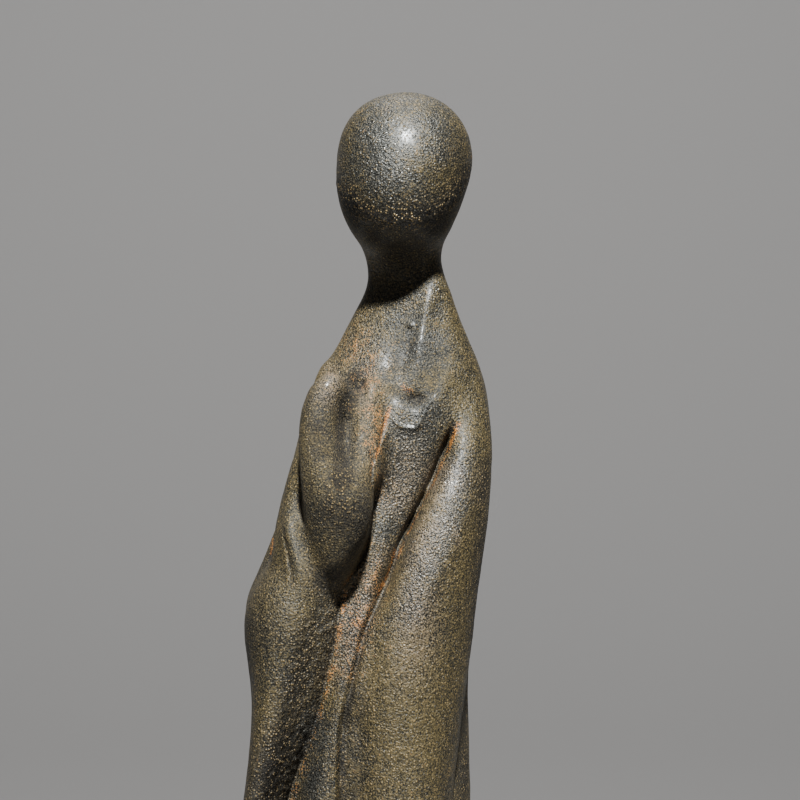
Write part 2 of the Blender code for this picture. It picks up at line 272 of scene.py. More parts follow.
def smooth_line(points):
    """Even steps along a smooth curve through the points."""
    points = np.array(points, float)
    lengths = np.concatenate([[0], np.cumsum(np.linalg.norm(np.diff(points, axis=0), axis=1))])
    if len(points) > 2:
        slopes = np.gradient(points, lengths, axis=0)
    else:
        slopes = np.diff(points, axis=0)[[0, 0]] / lengths[-1]
    steps = np.linspace(0, lengths[-1], max(2, round(lengths[-1] / LINE_SPACING) + 1))
    i = np.clip(np.searchsorted(lengths, steps, side="right") - 1, 0, len(lengths) - 2)
    gap = (lengths[i + 1] - lengths[i])[:, None]
    t = (steps - lengths[i])[:, None] / gap
    return (
        (2 * t**3 - 3 * t**2 + 1) * points[i]
        + (t**3 - 2 * t**2 + t) * gap * slopes[i]
        + (3 * t**2 - 2 * t**3) * points[i + 1]
        + (t**3 - t**2) * gap * slopes[i + 1]
    )


def on_skin(line, facing=FRONT):
    """A line drawn as (across, up), laid on the skin as seen from the side that it faces."""
    across = np.array((-facing[1], facing[0], 0.0))
    path = []
    for side, up in smooth_line(line):
        start = across * side + np.array((0.0, 0.0, up)) + facing * CLEAR
        place = tree.ray_cast(Vector(start), Vector(-facing))[0]
        if place is not None:
            path.append(place)
    path = np.array(path)
    depth = path @ facing
    even = depth.copy()
    for _ in range(LINE_STROKES):
        even[1:-1] = (even[:-2] + 2 * even[1:-1] + even[2:]) / 4
    return path + (even - depth)[:, None] * facing


def nearness(points, path, reach, facing=FRONT):
    """Which points are within reach of a path, how far away, how far along it and how far to its right."""
    low = path.min(axis=0) - reach
    high = path.max(axis=0) + reach
    close = np.nonzero(((points > low) & (points < high)).all(axis=1))[0]
    near = points[close]
    gap = np.full(len(close), np.inf)
    along = np.zeros(len(close))
    right = np.zeros(len(close))
    run = 0.0
    for start, end in zip(path[:-1], path[1:]):
        way = end - start
        length = np.linalg.norm(way)
        if length == 0:
            continue
        t = np.clip((near - start) @ way / length**2, 0, 1)
        away = np.linalg.norm(near - start - t[:, None] * way, axis=1)
        closer = away < gap
        gap[closer] = away[closer]
        along[closer] = run + t[closer] * length
        rightward = np.cross(facing, way)
        right[closer] = (near[closer] - start) @ (rightward / np.linalg.norm(rightward))
        run += length
    kept = gap < reach
    return close[kept], gap[kept], along[kept], right[kept], run


def wavering(along, seed):
    """A slow change of strength along a line, different for each line."""
    steps = np.arange(0, along.max() + 2 * WAVER_STEP, WAVER_STEP) if len(along) else np.zeros(1)
    values = [1 + WAVER * noise.noise(Vector((s / WAVER_LENGTH, seed, OFF_GRID))) for s in steps]
    return np.interp(along, steps, values)


def carve(lift, points, line, width, depth, lap=0.0, ends=LINE_ENDS, facing=FRONT):
    """Adds one carved line to the lift. A positive depth cuts, and a positive lap raises its right."""
    path = on_skin(line, facing)
    reach = max(REACH * width, LAP_REACH * 2 * width if lap else 0)
    close, gap, along, right, run = nearness(points, path, reach, facing)
    fade = np.clip(np.minimum(along, run - along) / ends, FAINTEST_END, 1) if ends else 1.0
    cut = depth * np.exp(-((gap / width) ** 2)) * wavering(along, line[0][1])
    raised = lap * np.clip(right / width, 0, 1) * np.exp(-((gap / width / LAP_REACH) ** 2))
    lift[close] += (raised - cut) * fade


points = points_of(net)
lift = np.zeros(len(points))
back_lift = np.zeros(len(points))
print("tool ready for", len(points), "points")

# %% [markdown]
# ## The throat and the cowl
# A sharp fold of the collar comes down from the side of the neck. Beside it is a soft crease, and below
# them the cowl opens in a small pocket with a crisp rolled rim, flat along its bottom and rising to the
# left shoulder. Cutting with other solids would leave knife edges. The carving tool works as a modeller
# works wax: the ridges beside the cowl are taken down first, then come the swellings and the pocket, and
# the thin rim is laid on last.

# %% Carve the throat and the cowl
COLLAR_FOLD = (
    (16.2, 257.9), (15.0, 256.4), (13.5, 254.6), (12.7, 252.4), (12.1, 249.4), (11.3, 246.2), (10.8, 242.6),
    (10.4, 239.5),
)
COLLAR_KNOB = ((9.5, 248.7), (9.0, 247.6), (8.7, 246.6))
COLLAR_CREASE = ((10.2, 247.8), (9.3, 244.6), (8.3, 241.6), (7.5, 238.6), (7.0, 235.6), (6.6, 232.9))
LEFT_RIDGE = ((7.4, 246.5), (6.2, 242.0), (5.0, 238.0), (4.6, 234.5))
RIGHT_RIDGE = ((16.9, 243.5), (16.6, 240.2), (15.3, 236.8), (14.0, 233.8))
POCKET_FLOOR = ((8.0, 229.2), (9.6, 228.6), (11.4, 229.4))
POCKET = ((7.0, 232.2), (8.8, 231.3), (10.8, 231.0), (13.2, 231.8))
COWL_RIM = (
    (5.0, 227.4), (5.9, 225.9), (7.2, 225.0), (8.8, 224.7), (10.1, 224.7), (10.9, 225.7), (12.2, 228.4),
    (13.4, 230.4), (14.6, 231.8),
)
BELOW_RIM = (
    (4.6, 224.4), (6.6, 222.0), (10.6, 221.4), (13.8, 224.6), (16.0, 228.0), (18.2, 232.2), (19.6, 237.0),
    (20.0, 242.0),
)
carve(lift, points, LEFT_RIDGE, width=2.4, depth=0.5, ends=4.0)
carve(lift, points, RIGHT_RIDGE, width=2.4, depth=0.5, ends=4.0)
carve(lift, points, COLLAR_FOLD, width=1.2, depth=-0.28)
carve(lift, points, COLLAR_KNOB, width=0.8, depth=-0.6, ends=1.0)
carve(lift, points, COLLAR_CREASE, width=0.8, depth=0.2)
carve(lift, points, POCKET_FLOOR, width=2.6, depth=-0.7, ends=0)
carve(lift, points, POCKET, width=1.5, depth=1.3, ends=3.0)
carve(lift, points, BELOW_RIM, width=4.0, depth=-0.5, ends=8.0)
carve(lift, points, COWL_RIM, width=0.42, depth=-0.5, ends=2.0)
print("lift so far:", lift.min().round(2), "to", lift.max().round(2), "mm")

# %% [markdown]
# ## The lapel, the hand and its sleeve
# The hand is one thick mitten seen on its edge. A long hollow beside the finger and a web of metal behind
# it are all that shows of its parts. The lapel of the inner robe and the edge of the robe run down beside
# it, with rust lying in both. At the wrist the sleeve turns back in a small rolled rim. The hollow is one
# wide deep cut with a thin ridge beside it, the rims are ridges, and the scratches on the palm are ridges
# finer still.

# %% Carve the lapel, the hand and its sleeve
LAPEL = ((4.4, 229.0), (3.8, 226.9), (3.0, 224.2), (2.3, 221.2), (1.5, 218.4))
LAPEL_END = ((0.1, 219.7), (0.6, 218.3), (1.0, 216.6))
ROBE_EDGE = (
    (0.9, 218.0), (0.5, 215.8), (0.4, 213.4), (0.6, 210.8), (1.0, 208.0), (0.9, 204.2), (0.2, 200.4),
    (-1.4, 196.4), (-3.3, 193.2), (-5.4, 190.6),
)
ROBE_EDGE_ROLL = ((1.4, 214.0), (1.5, 211.6), (1.9, 209.4), (2.0, 207.6))
FINGER_HOLLOW = (
    (-3.4, 235.6), (-4.1, 231.8), (-4.7, 227.5), (-4.9, 222.5), (-4.8, 217.9), (-5.2, 213.9),
)
PALM_EDGE = ((-2.1, 232.4), (-2.0, 228.6), (-2.2, 224.6), (-2.9, 220.6), (-3.4, 216.6))
WEB_SLOT = ((-1.7, 235.8), (-1.4, 233.2), (-1.1, 230.7))
SLEEVE_RIM = (
    (-15.6, 207.6), (-16.7, 206.5), (-17.8, 204.8), (-17.9, 202.1), (-16.8, 198.1), (-15.6, 194.0),
    (-14.8, 190.4),
)
RIM_CREASE = (
    (-19.1, 203.6), (-18.8, 201.0), (-18.3, 198.4), (-17.6, 195.6), (-17.0, 192.6), (-16.7, 189.6),
)
RIM_PIT = ((-15.8, 209.2), (-15.4, 207.6), (-14.9, 205.6), (-14.2, 203.2))
HEEL = ((-1.8, 200.6), (-2.9, 197.2), (-4.6, 194.4), (-6.8, 192.2), (-9.6, 191.0))
PALM_SCRATCHES = (
    ((-7.6, 214.8), (-6.9, 212.6), (-6.4, 210.6)),
    ((-6.0, 211.6), (-5.7, 209.4), (-5.3, 207.5)),
    ((-4.9, 209.3), (-4.6, 207.4), (-5.0, 205.4)),
    ((-9.3, 212.6), (-8.5, 209.7), (-8.2, 206.6)),
)
carve(lift, points, HEEL, width=2.2, depth=0.7, ends=3.0)
carve(lift, points, LAPEL, width=0.5, depth=0.4, lap=0.2)
carve(lift, points, LAPEL_END, width=0.45, depth=0.6, ends=1.0)
carve(lift, points, ROBE_EDGE, width=0.5, depth=0.75, lap=0.3)
carve(lift, points, ROBE_EDGE_ROLL, width=0.4, depth=-0.4, ends=2.0)
carve(lift, points, FINGER_HOLLOW, width=2.4, depth=2.2)
carve(lift, points, PALM_EDGE, width=0.6, depth=-0.25)
carve(lift, points, WEB_SLOT, width=0.8, depth=0.9, ends=1.5)
carve(lift, points, SLEEVE_RIM, width=0.9, depth=-0.4)
carve(lift, points, RIM_CREASE, width=0.55, depth=0.65)
carve(lift, points, RIM_PIT, width=0.6, depth=1.0, ends=1.5)
for scratch in PALM_SCRATCHES:
    carve(lift, points, scratch, width=0.35, depth=-0.14, ends=2.0)
print("lift so far:", lift.min().round(2), "to", lift.max().round(2), "mm")

# %% [markdown]
# ## The long folds
# The cloak's left side meets the robe in one long groove from the shoulder to the hem. It is deepest at the
# shoulder, where the cloak laps over the robe. Lower down they change places: the rolled edge of the robe's
# front panel stands over the cloak, so a lap under zero sinks the cloth at its right. On the other side the
# front panel stops in a ragged edge above the raw valley of the right sleeve.

# %% Carve the long folds
HEM = 10.0
GROOVE_TOP = (
    (18.7, 225.7), (18.0, 223.6), (16.7, 220.5), (15.2, 217.2), (14.0, 213.8), (12.9, 211.2), (10.3, 206.2),
    (7.6, 201.4), (6.3, 198.8), (5.4, 196.1),
)
GROOVE_FOOT = (
    (6.0, 197.8), (5.0, 193.6), (3.6, 190.0), (1.9, 186.2), (-0.9, 180.0), (-2.5, 173.4), (-3.9, 167.3),
    (-5.5, 161.0), (-6.4, 151.3), (-6.2, 140.9), (-5.8, 119.0), (-5.1, 72.0), (-4.0, HEM),
)
PANEL_ROLL = (
    (1.0, 187.6), (-1.7, 181.0), (-3.7, 173.8), (-5.3, 167.5), (-6.7, 161.0), (-7.5, 151.3), (-7.3, 140.9),
    (-6.9, 119.0), (-6.2, 72.0), (-5.1, HEM),
)
PANEL_EDGE = (
    (-5.6, 190.8), (-6.8, 184.4), (-7.8, 177.1), (-9.4, 170.2), (-10.9, 164.3), (-12.5, 157.5),
    (-15.9, 148.8), (-18.3, 141.3), (-19.2, 132.0), (-19.2, 119.0), (-18.4, 78.0), (-17.2, HEM),
)
CLOAK_CREST = ((23.2, 210.5), (20.9, 203.4), (18.2, 197.6), (15.1, 192.4), (12.2, 185.9), (9.9, 176.9))
RIGHT_SEAM = (
    (23.8, 184.0), (22.6, 174.2), (21.0, 163.4), (19.7, 152.2), (18.6, 142.0), (17.9, 119.0), (17.9, 78.0),
    (18.4, HEM),
)
carve(lift, points, GROOVE_TOP, width=0.75, depth=1.5, lap=0.45, ends=4.0)
carve(lift, points, GROOVE_FOOT, width=0.8, depth=0.8, lap=0.35)
carve(lift, points, GROOVE_FOOT[6:], width=1.2, depth=0.0, lap=-1.1, ends=8.0)
carve(lift, points, PANEL_ROLL, width=0.7, depth=-0.35)
carve(lift, points, PANEL_EDGE, width=0.55, depth=0.45, lap=0.5)
carve(lift, points, CLOAK_CREST, width=1.8, depth=-0.3)
carve(lift, points, RIGHT_SEAM, width=0.55, depth=0.9)
print("lift now:", lift.min().round(2), "to", lift.max().round(2), "mm")

# %% [markdown]
# ## The back
# The photograph doesn't show the back. It is finished in keeping and plainer: the cloth hangs from the
# shoulders in a few soft folds, each a shallow cut with a slight lap beside it. The same tool draws them,
# facing the other way.

# %% Carve the back
BACK = -FRONT
BACK_FOLDS = (
    ((9.0, 214.0), (10.2, 190.0), (11.0, 150.0), (10.6, 90.0), (9.6, HEM)),
    ((-10.2, 196.0), (-9.6, 160.0), (-10.0, 110.0), (-10.8, 60.0), (-10.8, HEM)),
    ((-0.8, 150.0), (-0.9, 110.0), (-1.2, 60.0), (-1.2, HEM)),
    ((-17.0, 178.0), (-18.4, 140.0), (-18.6, 90.0), (-17.4, HEM)),
    ((16.6, 196.0), (18.2, 150.0), (18.0, 90.0), (17.0, HEM)),
    ((5.0, 232.0), (6.6, 222.0), (7.4, 206.0), (7.6, 190.0)),
)
for fold in BACK_FOLDS:
    carve(back_lift, points, fold, width=1.5, depth=0.4, lap=0.18, ends=14.0, facing=BACK)
print("the back's lift:", back_lift.min().round(2), "to", back_lift.max().round(2), "mm")

# %% [markdown]
# ## An uneven hand, and the raw metal
# No cast figure is perfectly even. Slow waves a centimetre long take the machine-made look off the large
# forms. In the raw valley beside the right sleeve and in a band round the chin, where nobody filed or
# polished, the metal is left in coarse crumbs. A Displace modifier could do this with a texture. Moving
# each point by solid noise, along the way that its skin faces, lets every place have its own strength.

# %% Roughen the skin
RAW_LEFT = (
    (-9.4, 190.8), (-11.7, 185.9), (-15.6, 181.0), (-18.0, 172.4), (-20.7, 161.6), (-24.3, 149.9),
    (-25.8, 140.9), (-26.2, 110.0), (-25.4, 60.0), (-24.6, HEM),
)
RAW_SOFT_LEFT = 3.0
RAW_SOFT_RIGHT = 0.8
RAW_SOFT_END = 3.0


def raw_valley(points):
    """How far each point lies inside the raw valley, from 0 outside it to 1 well inside."""
    x, y, z = points.T
    left = np.interp(z, *np.array(RAW_LEFT)[::-1, ::-1].T)
    right = np.interp(z, *np.array(PANEL_EDGE)[::-1, ::-1].T)
    from_left = np.clip((x - left) / RAW_SOFT_LEFT + 0.5, 0, 1)
    from_right = np.clip((right - x) / RAW_SOFT_RIGHT + 0.5, 0, 1)
    from_top = np.clip((RAW_LEFT[0][1] - z) / RAW_SOFT_END, 0, 1)
    from_foot = np.clip((z - HEM) / RAW_SOFT_END, 0, 1)
    return from_left * from_right * (from_top * from_foot) * (y < 0)


def crumbs(points, size, seed):
    """Solid noise, one value for each point, with lumps of about that size in millimetres."""
    shift = Vector((seed, -seed, 2 * seed))
    return np.array([noise.noise(Vector(p) / size + shift) for p in points])


WAVE_SIZE, WAVE, WAVE_SEED = 11.0, 0.16, 3.1
LUMP_SIZE, LUMP, LUMP_SEED = 3.0, 0.05, 7.7
CRUMB_SIZE, CRUMB, CRUMB_SEED = 1.1, 0.22, 5.3
RAW_ENOUGH = 0.02
EVEN_UP_TO = 1.5
EVEN_FADE = 2.0
CHIN = (
    (-8.4, 282.0), (-7.2, 278.6), (-4.4, 275.2), (1.0, 272.0), (6.5, 271.0), (12.4, 272.0), (18.4, 276.0),
    (22.4, 281.0),
)
CHIN_WIDTH = 3.0
facing_out = normals_of(net)
raw = raw_valley(points)
gritty, gap = nearness(points, on_skin(CHIN), 2 * CHIN_WIDTH)[:2]
raw[gritty] = np.maximum(raw[gritty], np.exp(-((gap / CHIN_WIDTH) ** 2)))
above_foot = np.clip((points[:, 2] - EVEN_UP_TO) / EVEN_FADE, 0, 1)
relief = WAVE * crumbs(points, WAVE_SIZE, WAVE_SEED) + LUMP * crumbs(points, LUMP_SIZE, LUMP_SEED)
coarse = np.nonzero(raw > RAW_ENOUGH)[0]
relief[coarse] += CRUMB * raw[coarse] * crumbs(points[coarse], CRUMB_SIZE, CRUMB_SEED)
carved = lift[:, None] * FRONT + back_lift[:, None] * BACK
shaped = points + carved + (relief * above_foot)[:, None] * facing_out
net.vertices.foreach_set("co", (shaped * MM).ravel())
net.update()
print("raw metal on", len(coarse), "points")

# %% [markdown]
# ## The finished skin
# The fine net has far more faces than a viewer needs on the plain cloth. Decimating it keeps them where the
# form bends, along the rims and grooves, and thins them out elsewhere. The hollows are measured first, as
# the distance from the skin to a much smoother copy of itself, because dirt and rust gather in them and
# the colour is darkened in them: a painted shade as well as dirt.

# %% Finish the skin
FACES = 188000
HOLLOW_STROKES = 160


def triangles(mesh):
    """How many triangles the mesh's faces make."""
    return sum(len(face.vertices) - 2 for face in mesh.polygons)


smoother = points_of(worked(net.copy(), SMOOTH={"iterations": HOLLOW_STROKES}))
sunk = ((smoother - shaped) * normals_of(net)).sum(axis=1)
skin = worked(net, DECIMATE={"ratio": FACES / triangles(net)})
skin.name = "iron_skin"
places = points_of(skin)
finder = KDTree(len(shaped))
for index, place in enumerate(shaped):
    finder.insert(place, index)
finder.balance()
sunk = sunk[[finder.find(place)[1] for place in places]]
skin.shade_smooth()
statue = bpy.data.objects.new("iron_figure", skin)
bpy.context.scene.collection.objects.link(statue)
print("the skin has", triangles(skin), "triangles; hollows to", sunk.max().round(2), "mm")

# %% [markdown]
# ## A brush for the finish
# The finish isn't even. Rust, dirt, wax, dust and worn metal each lie in places of their own. They could be
# painted on a picture that is wrapped round the figure, but a wrapped picture has seams. The skin is so
# fine that numbers stored on its points can carry them, and lines like the carving's draw them. A stroke is
# a line, a width, a strength and a shift to the line's right, in millimetres. It wavers as the cuts do, and
# where strokes overlap the stronger one counts.

# %% Make the brush
PAINT_REACH = 3.0
STROKE_SEED = 9
STRONGEST = 1.6
PLAIN_TO_SEE = 0.3


def brushed(strokes):
    """How strongly each point is painted, from 0 to 1."""
    coverage = np.zeros(len(places))
    for line, width, strength, shift in strokes:
        close, gap, along, right, run = nearness(places, on_skin(line), PAINT_REACH * width)
        side = np.hypot(right - shift, np.sqrt(np.maximum(gap**2 - right**2, 0)))
        unevenness = np.clip(wavering(along, line[0][0] + STROKE_SEED), 0, STRONGEST)
        laid = strength * np.exp(-((side / width) ** 2)) * unevenness
        coverage[close] = np.maximum(coverage[close], laid)
    return np.clip(coverage, 0, 1)


def keep(name, values):
    """Stores one number for each point under a name."""
    layer = skin.attributes.new(name, "FLOAT", "POINT")
    layer.data.foreach_set("value", values.astype(np.float32))
    print(name, "covers", int(round(100 * (values > PLAIN_TO_SEE).mean())), "% of the points")


def paint(name, strokes):
    """Brushes the strokes of one layer and stores it."""
    keep(name, brushed(strokes))


print("the brush reaches", PAINT_REACH, "widths from its line")

# %% [markdown]
# ## Rust, dirt and painted shade
# Orange rust lies along the edges of the cloth, where water stands, and thinly on the throat, the top of
# the front panel and the fingertip. Dirt fills the grooves and darkens the palm and the foot of the front
# panel, where no hand rubs. The same dark layer also paints shade: in the pocket, in the hollow beside the
# finger, under the heel of the hand, under the chin, on the sides of the figure and of the head that turn
# from the light, and beside the front panel's edge near the hem. They are two layers, because rust is a
# colour of its own and the dark layer also takes the shine away.

# %% Paint the rust
THROAT = ((-4.5, 246.0), (-1.5, 239.0), (0.5, 231.0), (1.0, 222.0), (1.6, 212.0))
PANEL_TOP = ((1.5, 194.0), (-1.6, 184.0), (-4.4, 172.0))
POCKET_TOP = ((7.4, 234.2), (8.6, 233.0))
EDGE_FLECK = ((-21.7, 199.8), (-21.9, 196.8))
FINGER_TIP = ((-9.6, 237.4), (-8.2, 236.4), (-9.6, 232.0))
paint("rust", (
    (LAPEL, 0.5, 1.0, 0.0),
    (LAPEL_END, 0.5, 1.0, 0.0),
    (ROBE_EDGE, 0.5, 0.6, 0.0),
    (GROOVE_TOP, 1.0, 0.75, 1.1),
    (GROOVE_FOOT[:4], 0.8, 0.8, -0.7),
    (GROOVE_FOOT, 0.5, 0.4, -0.3),
    (PANEL_TOP, 4.6, 0.4, 0.0),
    (PANEL_EDGE, 1.0, 0.5, 0.9),
    (POCKET_TOP, 1.0, 0.8, 0.0),
    (THROAT, 4.6, 0.4, 0.0),
    (WEB_SLOT, 0.5, 0.6, 0.0),
    (EDGE_FLECK, 0.6, 1.2, 0.0),
    (FINGER_TIP[:2], 2.4, 0.35, 0.0),
))

# %% Paint the dirt and the shade
CLOAK_FOOT = ((-2.6, 166.0), (-3.6, 156.0), (-3.6, 141.0), (-2.8, 100.0), (-1.6, HEM))
PANEL_FOOT = ((-9.8, 158.0), (-12.0, 149.0), (-12.4, 141.0), (-12.5, 100.0), (-11.5, HEM))
FINGER_SIDE = ((-11.6, 233.0), (-13.0, 225.0), (-12.8, 216.0), (-11.6, 209.0))
PALM_FOOT = ((-8.0, 206.5), (-4.4, 204.0), (-1.8, 206.0))
PALM_FACE = ((-11.0, 230.0), (-11.0, 220.0))
COWL_MIDDLE = ((10.0, 246.0), (12.0, 238.0), (12.5, 232.0))
SLEEVE_SIDE = (
    (-21.5, 204.0), (-25.0, 190.0), (-27.0, 178.0), (-26.5, 160.0), (-26.8, 141.0), (-26.8, 100.0),
    (-25.6, HEM),
)
CLOAK_SIDE = (
    (25.6, 214.0), (24.6, 196.0), (22.6, 176.0), (21.2, 150.0), (20.6, 120.0), (20.8, 60.0),
    (20.8, HEM),
)
UNDER_CHIN = ((-3.0, 270.0), (2.0, 266.0), (7.5, 264.5), (12.0, 266.0), (16.0, 270.0))
CHEEK = ((19.0, 288.0), (21.0, 280.0), (19.5, 272.0))
paint("dark", (
    (GROOVE_TOP, 0.6, 1.0, -0.2),
    (GROOVE_FOOT, 0.4, 0.7, 0.2),
    # painted shadow: the lower groove and the cloak beside the front panel's edge, which stands over it
    (GROOVE_FOOT[6:], 0.9, 1.2, 0.6),
    (CLOAK_FOOT, 2.6, 0.45, 0.0),
    (PANEL_FOOT, 5.0, 0.35, 0.0),
    (ROBE_EDGE, 0.4, 0.5, -0.3),
    (RIM_CREASE, 0.5, 0.8, 0.0),
    (RIM_PIT, 0.6, 1.0, 0.0),
    # painted shade in the pocket and in the hollow beside the finger
    (POCKET, 1.7, 0.9, 0.3),
    (FINGER_HOLLOW, 2.8, 1.4, -0.5),
    (FINGER_SIDE, 3.6, 0.35, 0.0),
    (WEB_SLOT, 0.8, 0.7, 0.0),
    # painted shade under the heel of the hand
    (HEEL, 3.4, 1.0, -0.8),
    (PALM_FOOT, 4.5, 1.0, 0.0),
    (PALM_FACE, 4.0, 0.75, 0.0),
    (COWL_MIDDLE, 5.0, 0.25, 0.0),
    (RIGHT_SEAM, 0.7, 1.0, 0.0),
    # painted shade on the sides turned from the light, under the chin and on the head's right side
    (SLEEVE_SIDE, 10.0, 0.72, 0.0),
    (CLOAK_SIDE, 4.5, 0.6, 0.0),
    (UNDER_CHIN, 6.0, 0.8, 0.0),
    (CHEEK, 5.0, 0.3, 0.0),
))

# %% [markdown]
# ## Worn and polished metal
# The head, the chest, the crest of the left sleeve and the foot of the front panel are worn to blue-grey
# iron. The brow and the crest are polished too, and the collar's fold, the cowl's rim and a few spots
# glint. The wax coat gives part of that shine, and near-white spots painted into the colour give the rest:
# a painted highlight. One layer for all would be shorter, but worn iron isn't polished everywhere, so the
# colour, the polish and the glints are painted apart.

# %% Paint the worn metal
BROW = ((0.5, 289.0), (2.5, 284.0), (3.0, 281.0))
TEMPLE = ((15.0, 290.0), (16.5, 282.0))
WHOLE_HEAD = ((7.7, 291.0), (7.7, 280.0))
CHEST = ((9.0, 252.0), (10.5, 240.0), (12.0, 228.0), (8.0, 214.0), (4.5, 204.0))
PANEL = (
    (2.5, 196.0), (-2.0, 186.0), (-5.5, 172.0), (-9.0, 158.0), (-12.0, 141.0), (-12.5, 100.0),
    (-11.5, HEM),
)
GLOSS_CREST = (
    (18.6, 217.0), (18.2, 212.9), (17.3, 206.2), (15.8, 201.2), (13.5, 196.7), (11.5, 192.0), (9.0, 184.8),
)
paint("bare", (
    (BROW, 8.0, 0.95, 0.0),
    (TEMPLE, 6.0, 0.6, 0.0),
    (WHOLE_HEAD, 26.0, 0.6, 0.0),
    (CHEST, 8.0, 0.6, 0.0),
    (PANEL, 3.2, 0.3, 0.0),
    (PANEL_FOOT, 4.4, 0.95, -0.6),
    (GLOSS_CREST, 3.0, 0.5, 0.6),
))

# %% Paint the polish and the glints
LOWER_BROW = ((4.4, 284.0), (3.8, 280.0), (4.2, 276.5))
GLOSS_SPOTS = (
    ((12.6, 203.4), (12.2, 202.2)),
    ((17.9, 212.6), (17.5, 209.8)),
    ((16.0, 200.6), (15.0, 198.4)),
    ((11.6, 193.0), (10.8, 190.8)),
    ((10.2, 190.0), (9.4, 188.4)),
)
TIP_SPARKS = (
    ((-8.5, 235.0), (-8.3, 234.6)),
    ((-8.0, 233.2), (-7.9, 232.8)),
    ((-9.3, 234.5), (-9.1, 234.2)),
)
# gloss and shine raise the wax coat, and they also lay near-white glint spots into the colour: a painted
# highlight
paint("gloss", (
    (BROW, 8.0, 1.0, 0.0),
    (LOWER_BROW, 5.0, 0.5, 0.0),
    (TEMPLE, 5.0, 0.4, 0.0),
    (GLOSS_CREST, 3.0, 0.35, 0.6),
    (COLLAR_FOLD, 1.6, 0.6, 0.0),
))
paint("shine", (
    (COLLAR_FOLD[1:5], 0.9, 0.9, 0.0),
    (COLLAR_KNOB, 0.6, 1.0, 0.0),
    (COWL_RIM, 0.4, 1.0, 0.0),
    (ROBE_EDGE_ROLL, 0.45, 1.0, 0.0),
    *((spot, 1.1, 1.0, 0.0) for spot in GLOSS_SPOTS),
    *((spot, 0.5, 1.0, 0.0) for spot in TIP_SPARKS),
))

# %% [markdown]
# ## Grit, grazing light, pale dust and dull places
# Coarse dark grit with golden tips is left of the mould in the raw valley, down the cloak's side, beside
# the finger and in the palm's scratches. Round the chin the same dark and golden tips are painted shade and
# painted light: the band where the light grazes the rough metal and only the tips of the grains catch it.
# Pale dust lies on the throat, round the hand, on the top of the front panel, below the cowl, on the cloak's
# flank and in a few scuffs; on the fingertip it also paints the light on its top. The hand, the forearm,
# the throat's shade, the ridges beside the cowl and the right seam are dull, because no wax reached them.
# One layer each lets them overlap. The raw valley and the hollows come from the shape itself and need no
# stroke.

# %% Paint the grit, the grazing light and the dust
VALLEY = ((-12.4, 180.0), (-16.0, 168.0), (-19.0, 157.0), (-20.8, 150.0))
VALLEY_FOOT = ((-19.4, 156.0), (-20.8, 150.0), (-21.6, 141.0), (-21.8, 100.0), (-21.0, HEM))
COWL_FOOT = ((9.0, 219.0), (7.0, 210.0))
FLANK = ((15.6, 214.0), (13.0, 203.0), (10.0, 194.0), (10.5, 184.0), (9.0, 172.0))
BESIDE_HAND = ((-1.4, 236.0), (-0.6, 228.0))
SCUFFS = (
    ((3.5, 295.8), (4.0, 294.8)),
    ((19.0, 203.4), (19.7, 198.6)),
    ((20.2, 216.0), (20.6, 211.5)),
)
paint("grit_and_grazing_light", (
    # round the chin: painted shade, with painted light on the tips of the grains where the light grazes
    (CHIN, 3.0, 1.0, 0.0),
    (CLOAK_SIDE, 3.0, 0.5, 0.0),
    (VALLEY, 3.0, 0.4, 0.0),
    (VALLEY_FOOT, 4.0, 1.0, 0.0),
    (FINGER_HOLLOW, 1.6, 0.6, 0.0),
    *((mark, 0.55, 1.4, 0.0) for mark in PALM_SCRATCHES),
))
paint("pale", (
    (PANEL[:3], 4.0, 0.66, 0.0),
    (COWL_FOOT, 5.0, 0.6, 0.0),
    (FLANK, 5.0, 0.66, 0.0),
    (BESIDE_HAND, 2.4, 0.66, 0.0),
    # on the fingertip the pale dust also paints the light on its top
    (FINGER_TIP, 3.0, 1.0, 0.0),
    (THROAT, 5.0, 0.3, 0.0),
    *((mark, 0.45, 1.0, 0.0) for mark in SCUFFS),
))

# %% Paint the dull places and keep the shape's own
PALM = ((-9.6, 232.0), (-8.6, 222.0), (-6.6, 212.0), (-5.4, 205.0))
PALM_SIDE = ((-2.2, 230.0), (-1.8, 220.0), (-2.6, 210.0))
FOREARM = ((-15.0, 216.0), (-14.2, 206.0), (-12.0, 196.0))
HOLLOW_DEPTH = 0.5
paint("matt", (
    (PALM, 7.0, 1.0, 0.0),
    (PALM_SIDE, 5.0, 0.9, 0.0),
    (FINGER_HOLLOW, 3.0, 1.0, 0.0),
    (FOREARM, 6.0, 0.9, 0.0),
    (UNDER_CHIN, 7.0, 0.8, 0.0),
    (COWL_MIDDLE, 6.0, 0.7, 0.0),
    (LEFT_RIDGE, 2.5, 0.9, 0.0),
    (RIGHT_RIDGE, 2.5, 0.9, 0.0),
    (SLEEVE_RIM, 2.0, 0.8, 0.0),
    (FINGER_TIP, 2.2, 0.9, 0.0),
    (RIGHT_SEAM, 3.5, 1.0, 2.0),
))
keep("raw", raw_valley(places))
keep("hollow", np.clip(sunk / HOLLOW_DEPTH, -1, 1))

# %% [markdown]
# ## Shader maths in plain expressions
# A material is a sum of noises and masks. Written node by node it is hard to follow, so one small class
# wraps a socket and lets Python's own operators add the Math nodes: 1 - mask makes a subtraction.

